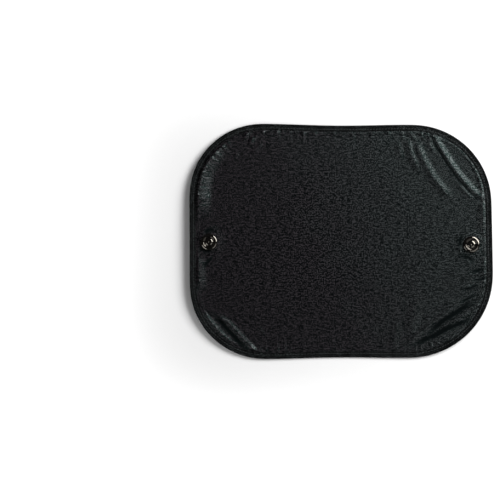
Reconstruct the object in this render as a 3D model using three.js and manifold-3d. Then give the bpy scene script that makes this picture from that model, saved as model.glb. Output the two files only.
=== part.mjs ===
// A car side window sunshade: one panel of sheer black cloth kept taut by a sprung wire hoop in a sewn edge
// binding, with a suction cup near each end. It lies front face up, on its two cups and on the middles of its
// long edges, so it has the slight saddle shape that such a hoop takes.
// Millimetres. +X along the length, +Y towards the top edge, +Z out of the front face. The origin is on the
// surface it lies on, under the middle of its outline.

import * as THREE from "three";
import Module from "manifold-3d";
import { mergeVertices } from "three/addons/utils/BufferGeometryUtils.js";

const wasm = await Module();
wasm.setup();

// Outline, over the binding
const shadeLength = 450;
const shadeHeight = 350;
// Each corner's radius, and how far the hoop draws it in from the end and from the long edge
const corners = {
  bottomLeft: { end: -1, edge: -1, radius: 111, endInset: 1, edgeInset: 0 },
  bottomRight: { end: 1, edge: -1, radius: 122, endInset: 0, edgeInset: 4 },
  topRight: { end: 1, edge: 1, radius: 116, endInset: 6.5, edgeInset: 3 },
  topLeft: { end: -1, edge: 1, radius: 107, endInset: 0, edgeInset: 0 },
};
// How far the middle of each side bows inwards
const sideBow = { bottom: 1.6, right: 0, top: 2, left: 0 };

// Cloth
const clothThickness = 0.4;
const foldFade = 7;

// Binding tape, folded over the wire and the edge of the cloth
const tapeThickness = 0.6;
const bindingWidth = 9;
const slotClearance = 0.3;
const lapThickness = 0.4;
const lapLength = 34;
const lapPlace = 0.3;
const lapStep = 0.2;
const clothTuck = 5.4;

// Hoop wire, and the crimped sleeve that joins its ends
const wireDiameter = 1.4;
const wireClearance = 0.4;
const wireEndGap = 2;
const sleeveWall = 0.5;
const sleeveLength = 24;
const sleevePlace = 0.7;
const sleeveClearance = 0.3;
const swellRamp = 6;

// Sewing thread
const threadWidth = 0.7;
const threadHeight = 0.4;
const threadClearance = 0.15;
const seamInset = 6;

// Suction cups: one moulding each, with a lip, a bell, a neck and a dished head
const cupSeats = {
  left: { end: -1, endInset: 29, offCentre: -1 },
  right: { end: 1, endInset: 32, offCentre: -4.5 },
};
const lipRadius = 20.8;
const lipLand = 1.4;
const lipThickness = 0.9;
const hollowDepth = 6.5;
const hollowFullness = 0.55;
const bellHeight = 10;
const bellBulge = 1.2;
const shoulderRadius = 7.2;
const shoulderRound = 1.2;
const neckRadius = 3.75;
const headRadius = 12.3;
const headThickness = 2.6;
const headEdgeHeight = 0.8;
const headShoulderWidth = 3.7;
const headGrooveRadius = 7.6;
const headGrooveDepth = 1.2;
const headDomeRadius = 6.6;
const headDomeRise = 1;
const headDomeFullness = 0.7;
const headDimpleRadius = 1.1;
const headDimpleDepth = 0.5;

// Eyelets that bind the holes in the cloth
const eyeletClearance = 0.55;
const eyeletWidth = 2.7;
const eyeletWall = 0.5;
const eyeletSlotDepth = 2.1;
const seatClearance = 0.3;

// Rest shape
const centreHeight = 7.5;
const tentHeight = 1.2;
const tentSpread = 20;

// Tension folds, by corner. Their ends are measured in from the end and from the long edge. The cloth climbs
// over the gentle width and drops, towards the corner, over the steep width.
const folds = [
  { corner: "topRight", from: [80, 13], to: [10, 104], steep: 6.5, gentle: 13, rise: 1.7 },
  { corner: "topRight", from: [112, 20], to: [52, 102], steep: 9, gentle: 14, rise: 1.1 },
  { corner: "topRight", from: [123, 12], to: [101, 68], steep: 7, gentle: 12, rise: 0.9 },
  { corner: "bottomLeft", from: [15, 78], to: [76, 12], steep: 6, gentle: 9, rise: 1.4 },
  { corner: "bottomLeft", from: [32, 84], to: [106, 9], steep: 8, gentle: 13, rise: 1.6 },
  { corner: "bottomRight", from: [100, 17], to: [28, 53], steep: 5, gentle: 8, rise: 1 },
  { corner: "bottomRight", from: [104, 26], to: [22, 70], steep: 6.5, gentle: 10, rise: 1.1 },
  { corner: "bottomRight", from: [112, 38], to: [14, 88], steep: 8, gentle: 12, rise: 0.9 },
  { corner: "topLeft", from: [64, 22], to: [13, 98], steep: 16, gentle: 22, rise: 1.9 },
];

// Fineness of the faceted surfaces
const cornerSteps = 14;
const sideSteps = 10;
const clothSplits = 7;
const clothTolerance = 0.22;
const noseFacets = 6;
const channelFacets = 5;
const wireFacets = 6;
const sleeveFacets = 10;
const cupFacets = 32;
const cupCurveSteps = 4;
const eyeletFacets = 24;

// Worked out from the sizes above
const wireRadius = wireDiameter / 2;
const channelRadius = wireRadius + wireClearance;
const noseRadius = channelRadius + tapeThickness;
const sleeveBore = wireRadius + sleeveClearance;
const sleeveRadius = sleeveBore + sleeveWall;
const swell = sleeveRadius + wireClearance - channelRadius;
const slotHalf = clothThickness / 2 + slotClearance;
const flapHalf = slotHalf + tapeThickness;
const eyeletHalf = clothThickness / 2 + slotClearance + eyeletWall;
const eyeletBore = neckRadius + eyeletClearance;
const eyeletRadius = eyeletBore + eyeletWidth;
const clothLevel = bellHeight + seatClearance + eyeletHalf;
const headBase = clothLevel + eyeletHalf + seatClearance;

const cups = Object.entries(cupSeats).map(([side, { end, endInset, offCentre }]) => ({
  side,
  x: end * (shadeLength / 2 - endInset),
  y: offCentre,
}));

const lerp = THREE.MathUtils.lerp;
const smooth = (t) => THREE.MathUtils.smoothstep(t, 0, 1);

// Outline of the shade, as stations that each hold a point, the way inwards there and the length so far.
function cornerPoint({ end, edge, endInset, edgeInset }) {
  return new THREE.Vector2(
    end * (shadeLength / 2 - endInset),
    edge * (shadeHeight / 2 - edgeInset),
  );
}

function cornerArc(corner, before, after) {
  const point = cornerPoint(corner);
  const back = cornerPoint(before).sub(point).normalize();
  const on = cornerPoint(after).sub(point).normalize();
  const half = back.angleTo(on) / 2;
  const tangent = corner.radius / Math.tan(half);
  const toCentre = back.clone().add(on).setLength(corner.radius / Math.sin(half));
  const centre = point.clone().add(toCentre);
  const start = back.multiplyScalar(tangent).add(point).sub(centre).angle();
  const turn = Math.PI - 2 * half;
  return new THREE.EllipseCurve(
    centre.x, centre.y, corner.radius, corner.radius, start, start + turn,
  ).getPoints(cornerSteps);
}

function bowedSide(from, to, bow) {
  const inward = new THREE.Vector2(from.y - to.y, to.x - from.x).normalize();
  return Array.from({ length: sideSteps - 1 }, (_, i) => {
    const t = (i + 1) / sideSteps;
    const bend = bow * Math.sin(Math.PI * t) ** 2;
    return from.clone().lerp(to, t).addScaledVector(inward, bend);
  });
}

function makeStations() {
  const list = Object.values(corners);
  const arcs = list.map((corner, i) =>
    cornerArc(corner, list.at(i - 1), list[(i + 1) % list.length]),
  );
  const points = arcs.flatMap((arc, i) => {
    const next = arcs[(i + 1) % arcs.length];
    return [...arc, ...bowedSide(arc.at(-1), next[0], Object.values(sideBow)[i])];
  });
  const box = new THREE.Box2().setFromPoints(points);
  const middle = box.getCenter(new THREE.Vector2());
  const drawn = box.getSize(new THREE.Vector2());
  const fit = new THREE.Vector2(shadeLength, shadeHeight).divide(drawn);
  points.forEach((p) => p.sub(middle).multiply(fit));

  let length = 0;
  return points.map((p, i) => {
    const last = points.at(i - 1);
    const next = points[(i + 1) % points.length];
    if (i > 0) length += p.distanceTo(last);
    const inward = new THREE.Vector2(last.y - next.y, next.x - last.x).normalize();
    return { x: p.x, y: p.y, inX: inward.x, inY: inward.y, length };
  });
}

const stations = makeStations();
const stationsInSide = cornerSteps + sideSteps;
const perimeter =
  stations.at(-1).length +
  Math.hypot(stations[0].x - stations.at(-1).x, stations[0].y - stations.at(-1).y);

// The station at a length along the outline, on the straight facet between two stations.
function stationAt(length) {
  const on = THREE.MathUtils.euclideanModulo(length, perimeter);
  const after = stations.findIndex((s) => s.length > on);
  const b = after < 0 ? { ...stations[0], length: perimeter } : stations[after];
  const a = stations.at((after < 0 ? stations.length : after) - 1);
  const t = (on - a.length) / (b.length - a.length);
  return {
    x: lerp(a.x, b.x, t),
    y: lerp(a.y, b.y, t),
    inX: lerp(a.inX, b.inX, t),
    inY: lerp(a.inY, b.inY, t),
    length: on,
  };
}

// The length along the outline at a share of a side, counted from its first corner.
function placeOnSide(side, share) {
  const first = side * stationsInSide + cornerSteps;
  const last = (first + sideSteps) % stations.length;
  const end = last === 0 ? perimeter : stations[last].length;
  return lerp(stations[first].length, end, share);
}

const lapStart = placeOnSide(1, lapPlace) - lapLength;
const sleeveMiddle = placeOnSide(1, sleevePlace);

// All stations between two lengths, with a station at each of them.
function stretch(from, to) {
  const inner = stations.flatMap((s) =>
    [s.length, s.length + perimeter]
      .filter((length) => length > from + 0.01 && length < to - 0.01)
      .map((length) => ({ ...s, length })),
  );
  inner.sort((a, b) => a.length - b.length);
  return [stationAt(from), ...inner, stationAt(to)];
}

// How far a point lies in from the outline.
function insetAt(x, y) {
  let nearest = Infinity;
  stations.forEach((a, i) => {
    const b = stations[(i + 1) % stations.length];
    const dx = b.x - a.x;
    const dy = b.y - a.y;
    const t = THREE.MathUtils.clamp(
      ((x - a.x) * dx + (y - a.y) * dy) / (dx * dx + dy * dy), 0, 1,
    );
    nearest = Math.min(nearest, Math.hypot(x - a.x - t * dx, y - a.y - t * dy));
  });
  return nearest;
}

// Rest shape: a saddle that touches down at the middles of the long edges and rises to the ends.
const halfSide = sideSteps / 2 + cornerSteps;
const bottomMiddle = stations[halfSide];
const topMiddle = stations[2 * stationsInSide + halfSide];
const endRise = clothLevel - tentHeight - centreHeight;
const edgeDrop = centreHeight - noseRadius;

function restHeight(x, y) {
  const edge = Math.abs((y > 0 ? topMiddle : bottomMiddle).y) - noseRadius;
  return centreHeight + endRise * (x / cups.at(-1).x) ** 2 - edgeDrop * (y / edge) ** 2;
}

// Height that one fold adds: a long ridge that fades to nothing at both its ends.
function foldHeight({ corner, from, to, steep, gentle, rise }, x, y) {
  const { end, edge } = corners[corner];
  const point = cornerPoint(corners[corner]);
  const place = ([inX, inY]) => new THREE.Vector2(point.x - end * inX, point.y - edge * inY);
  const start = place(from);
  const along = place(to).sub(start);
  const length = along.length();
  along.normalize();
  const t = ((x - start.x) * along.x + (y - start.y) * along.y) / length;
  if (t <= 0 || t >= 1) return 0;
  const outward = new THREE.Vector2(-along.y, along.x);
  if (outward.x * end + outward.y * edge < 0) outward.negate();
  const across = (x - start.x) * outward.x + (y - start.y) * outward.y;
  const side = across > 0 ? 1 - across / steep : 1 + across / gentle;
  return side <= 0 ? 0 : rise * smooth(side) * smooth(3 * Math.min(t, 1 - t));
}

// Height of the cloth: tucked into the binding all round, folded in the open, and held level where each cup's
// neck goes through.
function clothHeight(x, y) {
  const open = smooth((insetAt(x, y) - bindingWidth) / foldFade);
  const folded = folds.reduce((sum, fold) => sum + foldHeight(fold, x, y), 0);
  const loose = restHeight(x, y) + open * folded;
  return cups.reduce((height, cup) => {
    const away = Math.hypot(x - cup.x, y - cup.y) - eyeletRadius - seatClearance;
    return lerp(clothLevel, height, Math.max(smooth(away / tentSpread), 1 - open));
  }, loose);
}

// Adds the rest shape to a piece that was made flat.
function drape(geometry) {
  const p = geometry.getAttribute("position");
  for (let i = 0; i < p.count; i++) p.setZ(i, p.getZ(i) + restHeight(p.getX(i), p.getY(i)));
  geometry.computeVertexNormals();
  return geometry;
}

// A closed surface through rings of equally many points. Joined rings make a loop, and others get flat ends.
function skin(rings, joined) {
  const around = rings[0].length;
  const vertices = rings.flat().flatMap((v) => v.toArray());
  const faces = [];
  const spans = joined ? rings.length : rings.length - 1;
  for (let i = 0; i < spans; i++) {
    for (let j = 0; j < around; j++) {
      const a = i * around + j;
      const b = i * around + ((j + 1) % around);
      const c = ((i + 1) % rings.length) * around + ((j + 1) % around);
      const d = ((i + 1) % rings.length) * around + j;
      faces.push(a, b, c, a, c, d);
    }
  }
  if (!joined) {
    const last = (rings.length - 1) * around;
    for (let j = 1; j < around - 1; j++) {
      faces.push(0, j + 1, j, last, last + j, last + j + 1);
    }
  }
  const geometry = new THREE.BufferGeometry();
  geometry.setAttribute("position", new THREE.Float32BufferAttribute(vertices, 3));
  geometry.setIndex(faces);
  return geometry;
}

// A section's points at a station. Each is given by how far in from the outline it is, and by its height.
function ringAt(station, section) {
  return section.map(
    ([inset, height]) =>
      new THREE.Vector3(station.x + station.inX * inset, station.y + station.inY * inset, height),
  );
}

function circle(inset, radius, facets) {
  return Array.from({ length: facets }, (_, i) => {
    const angle = (2 * Math.PI * (i + 0.5)) / facets;
    return [inset + radius * Math.cos(angle), radius * Math.sin(angle)];
  });
}

function solidOf(geometry) {
  const bare = geometry.clone();
  bare.deleteAttribute("normal");
  bare.deleteAttribute("uv");
  const merged = mergeVertices(bare, 1e-4);
  return new wasm.Manifold(
    new wasm.Mesh({
      numProp: 3,
      vertProperties: merged.getAttribute("position").array,
      triVerts: new Uint32Array(merged.index.array),
    }),
  );
}

function geometryOf(solid) {
  const mesh = solid.getMesh();
  const geometry = new THREE.BufferGeometry();
  geometry.setAttribute("position", new THREE.BufferAttribute(mesh.vertProperties, 3));
  geometry.setIndex(new THREE.BufferAttribute(mesh.triVerts, 1));
  geometry.computeVertexNormals();
  return geometry;
}

// The cloth as right triangles on a square grid. A triangle is halved at the middle of its long side wherever
// that side, or one of a smaller triangle in it, would miss the cloth by more than clothTolerance.
function clothTriangles() {
  const cells = 2 ** clothSplits;
  const width = cells + 1;
  const place = (i, j) => [
    shadeLength * (i / cells - 0.5),
    shadeHeight * (j / cells - 0.5),
  ];
  const heights = new Float64Array(width * width);
  for (let i = 0; i < width; i++) {
    for (let j = 0; j < width; j++) heights[i * width + j] = clothHeight(...place(i, j));
  }
  const misses = new Float64Array(width * width);
  const middle = ([ai, aj], [bi, bj]) =>
    (ai + bi) % 2 || (aj + bj) % 2 ? null : [(ai + bi) / 2, (aj + bj) / 2];
  const id = ([i, j]) => i * width + j;

  function measure(a, b, corner) {
    const m = middle(a, b);
    if (!m) return 0;
    const inner = Math.max(measure(corner, a, m), measure(b, corner, m));
    const own = Math.abs(heights[id(m)] - (heights[id(a)] + heights[id(b)]) / 2);
    misses[id(m)] = Math.max(misses[id(m)], own, inner);
    return misses[id(m)];
  }

  const triangles = [];
  function split(a, b, corner) {
    const m = middle(a, b);
    if (m && misses[id(m)] > clothTolerance) {
      split(corner, a, m);
      split(b, corner, m);
    } else {
      triangles.push([id(a), id(b), id(corner)]);
    }
  }

  const halves = [
    [[0, 0], [cells, cells], [0, cells]],
    [[cells, cells], [0, 0], [cells, 0]],
  ];
  // Each pass carries a miss one level further across the triangles that share a side.
  for (let pass = 0; pass < 2 * clothSplits; pass++) halves.forEach((half) => measure(...half));
  halves.forEach((half) => split(...half));

  const used = [...new Set(triangles.flat())];
  const order = new Map(used.map((grid, i) => [grid, i]));
  const points = used.map((grid) => {
    const [x, y] = place(Math.floor(grid / width), grid % width);
    return new THREE.Vector3(x, y, heights[grid]);
  });
  return { points, triangles: triangles.map((t) => t.map((grid) => order.get(grid))) };
}

// A sheet with a thickness, from the triangles of its middle surface.
function thicken({ points, triangles }, thickness) {
  const raised = (dz) => points.flatMap((p) => [p.x, p.y, p.z + dz]);
  const under = points.length;
  const faces = triangles.flatMap(([a, b, c]) => [a, b, c, a + under, c + under, b + under]);
  const sides = new Set(triangles.flatMap(([a, b, c]) => [`${a},${b}`, `${b},${c}`, `${c},${a}`]));
  for (const side of sides) {
    const [a, b] = side.split(",").map(Number);
    if (!sides.has(`${b},${a}`)) faces.push(b, a, a + under, b, a + under, b + under);
  }
  const geometry = new THREE.BufferGeometry();
  const vertices = [...raised(thickness / 2), ...raised(-thickness / 2)];
  geometry.setAttribute("position", new THREE.Float32BufferAttribute(vertices, 3));
  geometry.setIndex(faces);
  return geometry;
}

// The cloth's cut: the outline, less what the binding covers of it, with a hole for each cup's neck.
function clothCut() {
  const inset = bindingWidth - clothTuck;
  const shape = new THREE.Shape(
    stations.map((s) => new THREE.Vector2(s.x + s.inX * inset, s.y + s.inY * inset)),
  );
  const holeRadius = eyeletRadius - eyeletSlotDepth + slotClearance;
  for (const { x, y } of cups) {
    shape.holes.push(new THREE.Path().absarc(x, y, holeRadius, 0, 2 * Math.PI));
  }
  const depth = 4 * clothLevel;
  const prism = new THREE.ExtrudeGeometry(shape, { depth, bevelEnabled: false, curveSegments: eyeletFacets });
  return prism.translate(0, 0, -depth / 2);
}

function makeCloth() {
  const sheet = solidOf(thicken(clothTriangles(), clothThickness));
  return geometryOf(sheet.intersect(solidOf(clothCut())));
}

// How much wider the binding's nose is at a station, to take the sleeve.
function swellAt({ length }) {
  const past = Math.abs(length - sleeveMiddle) - sleeveLength / 2;
  return swell * (1 - smooth(past / swellRamp));
}

function lapAt({ length }) {
  return length >= lapStart && length <= lapStart + lapLength ? lapThickness : 0;
}

// The binding's keyhole section: a nose round the wire and two flaps that hold the cloth.
function bindingSection(station) {
  const lap = lapAt(station);
  const channel = channelRadius + swellAt(station);
  const nose = channel + tapeThickness + lap;
  const flap = flapHalf + lap;
  const arc = (centre, radius, half, facets) => {
    const mouth = Math.asin(half / radius);
    return Array.from({ length: facets + 1 }, (_, i) => {
      const angle = lerp(mouth, 2 * Math.PI - mouth, i / facets);
      return [centre + radius * Math.cos(angle), radius * Math.sin(angle)];
    });
  };
  return [
    [bindingWidth, flap],
    ...arc(noseRadius + lap, nose, flap, noseFacets),
    [bindingWidth, -flap],
    [bindingWidth, -slotHalf],
    ...arc(noseRadius, channel, slotHalf, channelFacets).reverse(),
    [bindingWidth, slotHalf],
  ];
}

// Every station of the outline, with more where the lap ends and where the binding swells over the sleeve.
function bindingStations() {
  const swellEnd = sleeveLength / 2 + swellRamp;
  const extra = [
    lapStart - lapStep, lapStart, lapStart + lapLength, lapStart + lapLength + lapStep,
    sleeveMiddle - swellEnd, sleeveMiddle - sleeveLength / 2,
    sleeveMiddle + sleeveLength / 2, sleeveMiddle + swellEnd,
  ].map(stationAt);
  const apart = stations.filter((s) => extra.every((e) => Math.abs(e.length - s.length) > lapStep));
  return [...apart, ...extra].sort((a, b) => a.length - b.length);
}

function makeBinding() {
  const rings = bindingStations().map((s) => ringAt(s, bindingSection(s)));
  return drape(skin(rings, true));
}

function makeWire() {
  const start = sleeveMiddle + wireEndGap / 2;
  const section = circle(noseRadius, wireRadius, wireFacets);
  const rings = stretch(start, start + perimeter - wireEndGap).map((s) => ringAt(s, section));
  return drape(skin(rings, false));
}

function makeSleeve() {
  const along = stretch(sleeveMiddle - sleeveLength / 2, sleeveMiddle + sleeveLength / 2);
  const rings = [
    ...along.map((s) => ringAt(s, circle(noseRadius, sleeveRadius, sleeveFacets))),
    ...along.reverse().map((s) => ringAt(s, circle(noseRadius, sleeveBore, sleeveFacets))),
  ];
  return drape(skin(rings, true));
}

// One line of sewing thread along the binding, on the front face (side 1) or on the back (side -1).
function makeThread(side) {
  const rings = bindingStations().map((s) => {
    const low = flapHalf + lapAt(s) + threadClearance;
    const high = low + threadHeight;
    const near = seamInset - threadWidth / 2;
    const far = seamInset + threadWidth / 2;
    const section = [[far, low], [far, high], [near, high], [near, low]];
    return ringAt(s, section.map(([inset, height]) => [inset, side * height]));
  });
  return drape(skin(side > 0 ? rings : rings.reverse(), true));
}

// A cup's profile, from the top of its hollow out to the lip, up the bell and the neck, and over the head.
function makeCup() {
  const bellFoot = new THREE.Vector2(lipRadius, lipThickness);
  const bellTop = new THREE.Vector2(shoulderRadius, bellHeight - shoulderRound);
  const bellMiddle = bellFoot.clone().lerp(bellTop, 0.5).addScalar(bellBulge);
  const hollowRadius = lipRadius - lipLand;
  const shoulderCentre = headRadius - headShoulderWidth;
  const shoulderFoot = headBase + headEdgeHeight;
  const shoulderHeight = headThickness - headEdgeHeight;
  const headTop = headBase + headThickness;
  const domeTop = headTop + headDomeRise;
  const profile = new THREE.Path()
    .moveTo(0, hollowDepth)
    .quadraticCurveTo(hollowRadius * hollowFullness, hollowDepth, hollowRadius, 0)
    .lineTo(lipRadius, 0)
    .lineTo(bellFoot.x, bellFoot.y)
    .quadraticCurveTo(bellMiddle.x, bellMiddle.y, bellTop.x, bellTop.y)
    .lineTo(shoulderRadius - shoulderRound, bellHeight)
    .lineTo(neckRadius, bellHeight)
    .lineTo(neckRadius, headBase)
    .lineTo(headRadius - headEdgeHeight, headBase)
    .absellipse(shoulderCentre, shoulderFoot, headShoulderWidth, shoulderHeight, 0, Math.PI / 2)
    .lineTo(headGrooveRadius, headTop - headGrooveDepth)
    .lineTo(headDomeRadius, headTop - headGrooveDepth)
    .quadraticCurveTo(headDomeRadius * headDomeFullness, domeTop, headDimpleRadius, domeTop)
    .lineTo(0, domeTop - headDimpleDepth);
  return new THREE.LatheGeometry(profile.getPoints(cupCurveSteps), cupFacets).rotateX(Math.PI / 2);
}

// An eyelet: a ring with a groove that holds the edge of the hole in the cloth.
function makeEyelet() {
  const grooveRadius = eyeletRadius - eyeletSlotDepth;
  const profile = [
    [eyeletBore, -eyeletHalf],
    [eyeletRadius, -eyeletHalf],
    [eyeletRadius, -slotHalf],
    [grooveRadius, -slotHalf],
    [grooveRadius, slotHalf],
    [eyeletRadius, slotHalf],
    [eyeletRadius, eyeletHalf],
    [eyeletBore, eyeletHalf],
    [eyeletBore, -eyeletHalf],
  ].map(([radius, height]) => new THREE.Vector2(radius, height));
  return new THREE.LatheGeometry(profile, eyeletFacets).rotateX(Math.PI / 2);
}

const materials = {
  cloth: new THREE.MeshStandardMaterial({ color: 0x1d1f21, roughness: 0.55 }),
  tape: new THREE.MeshStandardMaterial({ color: 0x121214, roughness: 0.8 }),
  thread: new THREE.MeshStandardMaterial({ color: 0x2b2d30, roughness: 0.6 }),
  wire: new THREE.MeshStandardMaterial({ color: 0x8a8c90, roughness: 0.35, metalness: 1 }),
  cup: new THREE.MeshStandardMaterial({ color: 0x0a0a0b, roughness: 0.12 }),
  eyelet: new THREE.MeshStandardMaterial({ color: 0x151517, roughness: 0.6 }),
};

const sunshade = new THREE.Group();

function add(name, geometry, material, x = 0, y = 0, z = 0) {
  const mesh = new THREE.Mesh(geometry, material);
  mesh.name = name;
  mesh.position.set(x, y, z);
  sunshade.add(mesh);
}

add("mesh_cloth", makeCloth(), materials.cloth);
add("edge_binding", makeBinding(), materials.tape);
add("hoop_wire", makeWire(), materials.wire);
add("wire_sleeve", makeSleeve(), materials.wire);
add("front_seam_thread", makeThread(1), materials.thread);
add("back_seam_thread", makeThread(-1), materials.thread);
for (const { side, x, y } of cups) {
  add(`${side}_suction_cup`, makeCup(), materials.cup, x, y);
  add(`${side}_eyelet`, makeEyelet(), materials.eyelet, x, y, clothLevel);
}

export default sunshade;
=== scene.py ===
# A car side window sunshade, lying front face up: sheer black cloth held taut by a sprung wire hoop in a
# sewn twill binding, with a glossy suction cup near each end. Metres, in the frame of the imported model.

import math

import bpy
import numpy as np
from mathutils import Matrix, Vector


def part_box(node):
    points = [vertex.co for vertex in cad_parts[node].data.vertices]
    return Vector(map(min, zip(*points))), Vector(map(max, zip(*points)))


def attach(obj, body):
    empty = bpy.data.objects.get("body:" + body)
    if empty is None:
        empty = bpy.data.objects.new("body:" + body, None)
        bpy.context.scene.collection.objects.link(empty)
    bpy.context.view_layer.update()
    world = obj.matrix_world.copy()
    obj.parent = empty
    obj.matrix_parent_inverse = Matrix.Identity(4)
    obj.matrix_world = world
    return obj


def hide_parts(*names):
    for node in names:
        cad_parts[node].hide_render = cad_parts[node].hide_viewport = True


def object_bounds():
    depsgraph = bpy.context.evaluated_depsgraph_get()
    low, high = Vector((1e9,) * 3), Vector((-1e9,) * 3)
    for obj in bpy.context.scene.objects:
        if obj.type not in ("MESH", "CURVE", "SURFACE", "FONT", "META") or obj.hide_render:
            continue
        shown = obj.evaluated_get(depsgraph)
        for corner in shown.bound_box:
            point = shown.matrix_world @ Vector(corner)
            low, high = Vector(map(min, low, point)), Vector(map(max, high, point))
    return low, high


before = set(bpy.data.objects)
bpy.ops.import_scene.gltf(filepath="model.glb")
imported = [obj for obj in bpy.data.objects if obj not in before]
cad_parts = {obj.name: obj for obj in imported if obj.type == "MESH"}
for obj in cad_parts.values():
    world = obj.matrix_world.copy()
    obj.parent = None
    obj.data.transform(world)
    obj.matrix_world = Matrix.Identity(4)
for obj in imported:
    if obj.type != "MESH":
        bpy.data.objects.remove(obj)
cad_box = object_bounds()
bpy.ops.object.select_all(action="DESELECT")

MM = 0.001

# Hoop and binding
PATH_STEP = 2 * MM
PATH_SMOOTH = 5 * MM
RING_GAP = 1.8 * MM
WIRE_REACH = 0.606 * MM
TAPE = 0.55 * MM
LAP_THICKNESS = 0.35 * MM
BINDING_WIDTH = 9 * MM
SLOT_HALF = 0.45 * MM
NOSE_POINTS = 9
FLAP_POINTS = 9
EDGE_BEVEL = (0.15 * MM, 0.08 * MM)
EDGE_WANDER = 0.15 * MM
EDGE_WANDER_LENGTH = 61 * MM
SEAM_INSET = 6 * MM
SEAM_DIP = 0.22 * MM
SEAM_DIP_WIDTH = 1.1 * MM

# Stitches, whose lean is in degrees, and the puckers that they press into the tape
STITCH_PITCH = 4.4 * MM
STITCH_LENGTH = 3.6 * MM
THREAD_RADIUS = 0.27 * MM
STITCH_RISE = 0.16 * MM
STITCH_LEAN = 4
STITCH_LEAN_SPREAD = 1.5
STITCH_SEED = 7
PUCKER = 0.12 * MM
PUCKER_SHORT = 2.3 * STITCH_PITCH
PUCKER_LONG = 17.3 * MM

# Cloth. Its grid has fine steps near the rim, and coarse ones in the middle, which is flatter.
FINE_STEP = 1.6 * MM
COARSE_STEP = 2.9 * MM
COARSE_X = 72 * MM
COARSE_Y = 48 * MM
CLOTH_HALF = 0.16 * MM
CLOTH_EDGE = 4.4 * MM
CLOTH_PITCH = 1.3 * MM
NECK_HOLE = 5.4 * MM
FOLD_FADE = 4 * MM
FOLD_END = 14 * MM
SOFT_END = 40 * MM
HEM_ROLL = 0.5 * MM
HEM_ROLL_WIDTH = 3.2 * MM
RIPPLE = 0.10 * MM
GATHER = 0.6 * MM
GATHER_REACH = 8 * MM

# Round each cup the cloth is level at its neck, and rises or falls to the open cloth like a tent.
LEVEL_RADIUS = 7.4 * MM
TENT_SPREAD = 20 * MM
TENT_PUCKER = 0.9 * MM

# Suction cups, whose profile is in millimetres
TURN_STEPS = 96
HOLLOW_TOP = 6.5
LIP_RADIUS = 20.4
LIP_ROUND = 0.4
BELL_TOP = 10.0
BELL_ROUND = 0.8
NECK_RADIUS = 3.75
HEAD_RADIUS = 12.3
HEAD_BASE = 12.6
HEAD_EDGE = 0.8
SHOULDER_WIDTH = 3.7
SHOULDER_HEIGHT = 1.8

# Angles up to which neighbouring faces are shaded as one surface
CLOTH_SMOOTH = math.radians(60)
BINDING_SMOOTH = math.radians(50)
CUP_SMOOTH = math.radians(35)

# Tints, by which a level of grey is multiplied
MAUVE = (1.5, 0.6, 1.5)
PALE = (1.12, 0.9, 1.08)
TEAL = (0.55, 1.0, 0.92)
COOL = (0.9, 1.04, 1.06)
CREAM = (1.0, 0.9, 0.72)

# Light. Each softbox has its place, its length and width, and its power in watts, and aims at the middle.
WORLD_LEVEL = 0.04
SOFTBOXES = {
    "right_softbox": ((0.98, 0.66, 1.0), (1.2, 0.8), 36.5),
    "left_softbox": ((-1.0, -0.85, 1.15), (0.9, 0.6), 5.5),
    "front_softbox": ((0.7, -0.65, 1.25), (0.9, 0.9), 3),
}

# The floor is evened up to white for the camera, from none at the rim of the shade to all of it at this many
# times the shade's size.
FLOOR_SIZE = 8
FLOOR_DROP = 0.2 * MM
FLOOR_LEVEL = 0.93
FLOOR_GLOW = 0.45
FLOOR_WHITE_FROM = 1.6

# The camera looks straight down from high up, at a point left of and below the middle of the shade.
CAMERA_X = -135.2 * MM
CAMERA_Y = -12.8 * MM
CAMERA_HEIGHT = 2.6
VIEW_WIDTH = 742 * MM


def smooth(t):
    """A soft step from 0 to 1."""
    t = np.clip(t, 0, 1)
    return t * t * (3 - 2 * t)


def node_points(name):
    """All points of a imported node, as rows of x, y and z."""
    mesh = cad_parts[name].data
    points = np.empty(3 * len(mesh.vertices))
    mesh.vertices.foreach_get("co", points)
    return np.unique(points.reshape(-1, 3).round(7), axis=0)


def resample(points, step):
    """Even steps round a closed line."""
    closed = np.vstack([points, points[:1]])
    length = np.r_[0, np.cumsum(np.linalg.norm(np.diff(closed, axis=0), axis=1))]
    count = round(length[-1] / step)
    at = np.arange(count) * length[-1] / count
    return np.stack([np.interp(at, length, closed[:, i]) for i in range(2)], axis=1)


def hoop_line():
    """The middle line of the wire, anticlockwise: its rings' middles, joined and smoothed."""
    points = node_points("hoop_wire")[:, :2]
    points = points[np.argsort(np.arctan2(points[:, 1], points[:, 0]))]
    jumps = np.linalg.norm(points - np.roll(points, 1, axis=0), axis=1)
    starts = np.flatnonzero(jumps > RING_GAP)
    rings = np.split(np.roll(points, -starts[0], axis=0), starts[1:] - starts[0])
    line = resample(np.array([(r.min(axis=0) + r.max(axis=0)) / 2 for r in rings]), PATH_STEP)
    reach = round(3 * PATH_SMOOTH / PATH_STEP)
    weights = np.exp(-0.5 * (np.arange(-reach, reach + 1) * PATH_STEP / PATH_SMOOTH) ** 2)
    weights /= weights.sum()
    smoothed = sum(w * np.roll(line, k - reach, axis=0) for k, w in enumerate(weights))
    return resample(smoothed, PATH_STEP)


def inward_normals(line):
    """The direction into the outline at each step of its line."""
    ahead = np.roll(line, -1, axis=0) - np.roll(line, 1, axis=0)
    normals = np.stack([-ahead[:, 1], ahead[:, 0]], axis=1)
    return normals / np.linalg.norm(normals, axis=1, keepdims=True)


def fit_saddle():
    """The saddle that the binding follows: a height, a rise to the ends and a fall to each long edge."""
    x, y, z = node_points("edge_binding").T
    terms = [np.ones_like(x), x * x, np.where(y > 0, y * y, 0), np.where(y > 0, 0, y * y)]
    return np.linalg.lstsq(np.stack(terms, axis=1), z, rcond=None)[0]


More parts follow.
